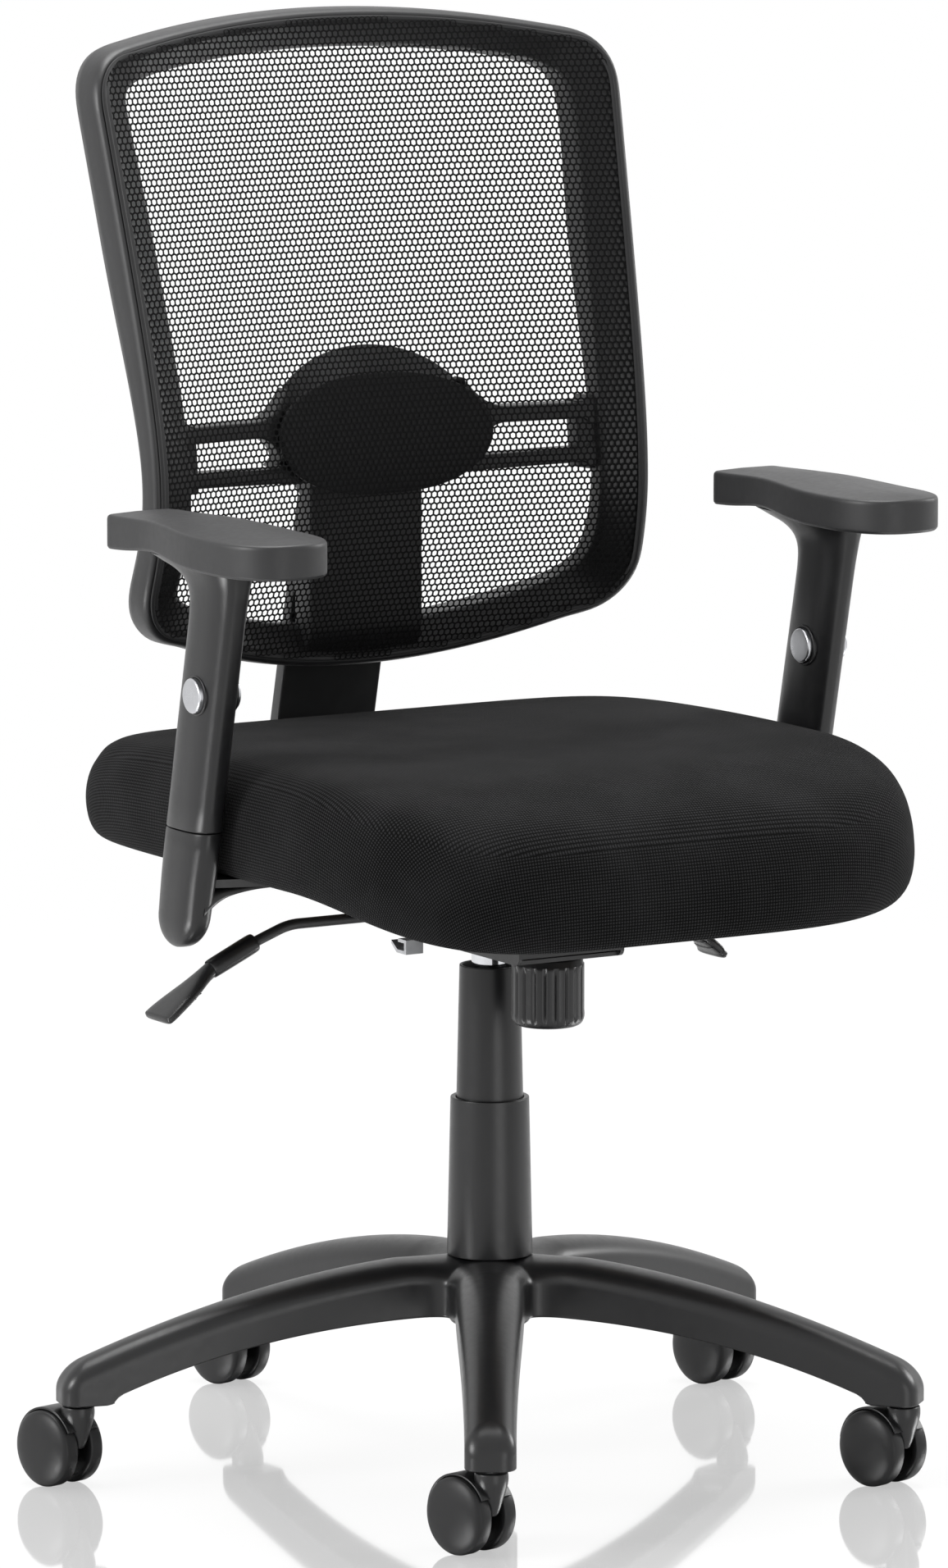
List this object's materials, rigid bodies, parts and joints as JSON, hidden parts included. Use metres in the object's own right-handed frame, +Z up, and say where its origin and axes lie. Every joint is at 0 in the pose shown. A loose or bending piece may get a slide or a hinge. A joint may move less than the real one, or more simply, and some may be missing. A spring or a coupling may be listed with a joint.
{
  "type": "office chair",
  "caption": "Swivel office chair with net back, upholstered seat, height-adjustable arms, gas lift, synchro tilt and a star base on twin-wheel casters.",
  "frame": {"origin": "floor level on the axis of the gas column", "axes": "+Z up, the sitter faces -Y, +X is the sitter's left hand side"},
  "size_m": [0.6661, 0.6746, 1.087],
  "materials": {
    "nylon": "moulded glass-filled nylon, fine satin grain",
    "wheel_nylon": "moulded nylon, satin",
    "arm_pad": "soft polyurethane skin, fine grain",
    "chrome": "bright chrome plate",
    "black_steel": "black powder coat",
    "bright_steel": "zinc-plated",
    "guide_plastic": "acetal, natural",
    "plywood": "moulded plywood, unfinished",
    "seat_fabric": "black woven air mesh over foam",
    "net": "black open net"
  },
  "bodies": {
    "base": {"star_base": "nylon", "stand_tube": "black_steel", "guide_sleeve": "guide_plastic", "thrust_bearing": "bright_steel", "lower_cover": "nylon"},
    "turning_rod": {"piston_rod": "chrome"},
    "carriage": {"gas_cylinder": "chrome", "upper_cover": "nylon", "tilt_housing": "black_steel", "tilt_shafts": "bright_steel", "stop_bracket": "bright_steel", "tension_spring": "bright_steel"},
    "valve": {"valve_pin": "bright_steel"},
    "knob": {"tension_knob": "nylon"},
    "nut": {"tension_nut": "bright_steel"},
    "gas_lever": {"gas_lever": "black_steel", "gas_paddle": "nylon"},
    "lock_lever": {"lock_lever": "black_steel", "lock_paddle": "nylon"},
    "seat": {"seat_plate": "black_steel", "seat_board": "plywood", "seat_cushion": "seat_fabric", "seat_bolts": "bright_steel", "left_arm_bracket": "nylon", "left_arm_post": "black_steel", "right_arm_bracket": "nylon", "right_arm_post": "black_steel"},
    "back": {"back_bracket": "black_steel", "link_pin": "bright_steel", "back_bar": "black_steel", "back_bolts": "bright_steel", "back_frame": "nylon", "back_net": "net", "lumbar_pad": "nylon"},
    "left_arm": {"left_arm_sleeve": "nylon", "left_arm_pad": "arm_pad"},
    "right_arm": {"right_arm_sleeve": "nylon", "right_arm_pad": "arm_pad"},
    "left_button": {"left_arm_button": "chrome"},
    "right_button": {"right_arm_button": "chrome"},
    "caster_1": {"caster_body_1": "nylon", "caster_pins_1": "bright_steel"},
    "wheel_left_1": {"caster_wheel_left_1": "wheel_nylon"},
    "wheel_right_1": {"caster_wheel_right_1": "wheel_nylon"},
    "caster_2": {"caster_body_2": "nylon", "caster_pins_2": "bright_steel"},
    "wheel_left_2": {"caster_wheel_left_2": "wheel_nylon"},
    "wheel_right_2": {"caster_wheel_right_2": "wheel_nylon"},
    "caster_3": {"caster_body_3": "nylon", "caster_pins_3": "bright_steel"},
    "wheel_left_3": {"caster_wheel_left_3": "wheel_nylon"},
    "wheel_right_3": {"caster_wheel_right_3": "wheel_nylon"},
    "caster_4": {"caster_body_4": "nylon", "caster_pins_4": "bright_steel"},
    "wheel_left_4": {"caster_wheel_left_4": "wheel_nylon"},
    "wheel_right_4": {"caster_wheel_right_4": "wheel_nylon"},
    "caster_5": {"caster_body_5": "nylon", "caster_pins_5": "bright_steel"},
    "wheel_left_5": {"caster_wheel_left_5": "wheel_nylon"},
    "wheel_right_5": {"caster_wheel_right_5": "wheel_nylon"}
  },
  "joints": [
    {"name": "swivel", "type": "hinge", "parent": "base", "child": "turning_rod", "pos_m": [0, 0, 0.07], "axis": [0, 0, 1], "continuous": true},
    {"name": "seat_height", "type": "slide", "parent": "turning_rod", "child": "carriage", "axis": [0, 0, 1], "range_m": [-0.09, 0.01]},
    {"name": "valve_travel", "type": "slide", "parent": "carriage", "child": "valve", "axis": [0, 0, -1], "range_m": [0, 0.003]},
    {"name": "gas_lever_lift", "type": "hinge", "parent": "carriage", "child": "gas_lever", "pos_m": [-0.0445, 0, 0.437], "axis": [0, 1, 0], "range_deg": [0, 2.5], "stiffness_Nm_per_rad": 2, "springref_deg": -8.59},
    {"name": "lock_lever_lift", "type": "hinge", "parent": "carriage", "child": "lock_lever", "pos_m": [0.0445, -0.03, 0.43], "axis": [0, -1, 0], "range_deg": [0, 7]},
    {"name": "tension_knob_turn", "type": "hinge", "parent": "carriage", "child": "knob", "pos_m": [0, -0.084, 0.37], "axis": [0, 0, 1], "range_deg": [-900, 900]},
    {"name": "tension_nut_travel", "type": "slide", "parent": "carriage", "child": "nut", "axis": [0, 0, 1], "range_m": [-0.005, 0.005], "deforming": ["tension_spring"]},
    {"name": "back_recline", "type": "hinge", "parent": "carriage", "child": "back", "pos_m": [0, 0.04, 0.424], "axis": [-1, 0, 0], "range_deg": [0, 22], "stiffness_Nm_per_rad": 60, "springref_deg": -20.05},
    {"name": "seat_tilt", "type": "hinge", "parent": "carriage", "child": "seat", "pos_m": [0, -0.085, 0.447], "axis": [-1, 0, 0], "range_deg": [0, 11]},
    {"name": "left_arm_height", "type": "slide", "parent": "seat", "child": "left_arm", "axis": [0, -0.2198, 0.9755], "range_m": [0, 0.07]},
    {"name": "left_button_press", "type": "slide", "parent": "left_arm", "child": "left_button", "axis": [1, 0, 0], "range_m": [0, 0.003], "stiffness_N_per_m": 400, "springref_m": -0.002},
    {"name": "right_arm_height", "type": "slide", "parent": "seat", "child": "right_arm", "axis": [0, -0.2198, 0.9755], "range_m": [0, 0.07]},
    {"name": "right_button_press", "type": "slide", "parent": "right_arm", "child": "right_button", "axis": [-1, 0, 0], "range_m": [0, 0.003], "stiffness_N_per_m": 400, "springref_m": -0.002},
    {"name": "caster_swivel_1", "type": "hinge", "parent": "base", "child": "caster_1", "pos_m": [-0.16739, -0.27858, 0.075], "axis": [0, 0, 1], "continuous": true},
    {"name": "wheel_spin_left_1", "type": "hinge", "parent": "caster_1", "child": "wheel_left_1", "pos_m": [-0.17189, -0.25909, 0.029], "axis": [-0.9744, -0.225, 0], "continuous": true},
    {"name": "wheel_spin_right_1", "type": "hinge", "parent": "caster_1", "child": "wheel_right_1", "pos_m": [-0.17189, -0.25909, 0.029], "axis": [-0.9744, -0.225, 0], "continuous": true},
    {"name": "caster_swivel_2", "type": "hinge", "parent": "base", "child": "caster_2", "pos_m": [0.21322, -0.24528, 0.075], "axis": [0, 0, 1], "continuous": true},
    {"name": "wheel_spin_left_2", "type": "hinge", "parent": "caster_2", "child": "wheel_left_2", "pos_m": [0.20872, -0.22579, 0.029], "axis": [-0.9744, -0.225, 0], "continuous": true},
    {"name": "wheel_spin_right_2", "type": "hinge", "parent": "caster_2", "child": "wheel_right_2", "pos_m": [0.20872, -0.22579, 0.029], "axis": [-0.9744, -0.225, 0], "continuous": true},
    {"name": "caster_swivel_3", "type": "hinge", "parent": "base", "child": "caster_3", "pos_m": [0.29916, 0.12699, 0.075], "axis": [0, 0, 1], "continuous": true},
    {"name": "wheel_spin_left_3", "type": "hinge", "parent": "caster_3", "child": "wheel_left_3", "pos_m": [0.29467, 0.14647, 0.029], "axis": [-0.9744, -0.225, 0], "continuous": true},
    {"name": "wheel_spin_right_3", "type": "hinge", "parent": "caster_3", "child": "wheel_right_3", "pos_m": [0.29467, 0.14647, 0.029], "axis": [-0.9744, -0.225, 0], "continuous": true},
    {"name": "caster_swivel_4", "type": "hinge", "parent": "base", "child": "caster_4", "pos_m": [-0.02833, 0.32376, 0.075], "axis": [0, 0, 1], "continuous": true},
    {"name": "wheel_spin_left_4", "type": "hinge", "parent": "caster_4", "child": "wheel_left_4", "pos_m": [-0.03283, 0.34325, 0.029], "axis": [-0.9744, -0.225, 0], "continuous": true},
    {"name": "wheel_spin_right_4", "type": "hinge", "parent": "caster_4", "child": "wheel_right_4", "pos_m": [-0.03283, 0.34325, 0.029], "axis": [-0.9744, -0.225, 0], "continuous": true},
    {"name": "caster_swivel_5", "type": "hinge", "parent": "base", "child": "caster_5", "pos_m": [-0.31667, 0.07311, 0.075], "axis": [0, 0, 1], "continuous": true},
    {"name": "wheel_spin_left_5", "type": "hinge", "parent": "caster_5", "child": "wheel_left_5", "pos_m": [-0.32117, 0.0926, 0.029], "axis": [-0.9744, -0.225, 0], "continuous": true},
    {"name": "wheel_spin_right_5", "type": "hinge", "parent": "caster_5", "child": "wheel_right_5", "pos_m": [-0.32117, 0.0926, 0.029], "axis": [-0.9744, -0.225, 0], "continuous": true}
  ],
  "couplings": [
    {"joint": "valve_travel", "follows": "gas_lever_lift", "m_per_rad": 0.0485},
    {"joint": "tension_nut_travel", "follows": "tension_knob_turn", "m_per_rad": 0.000318},
    {"joint": "seat_tilt", "follows": "back_recline", "ratio": 0.5}
  ]
}
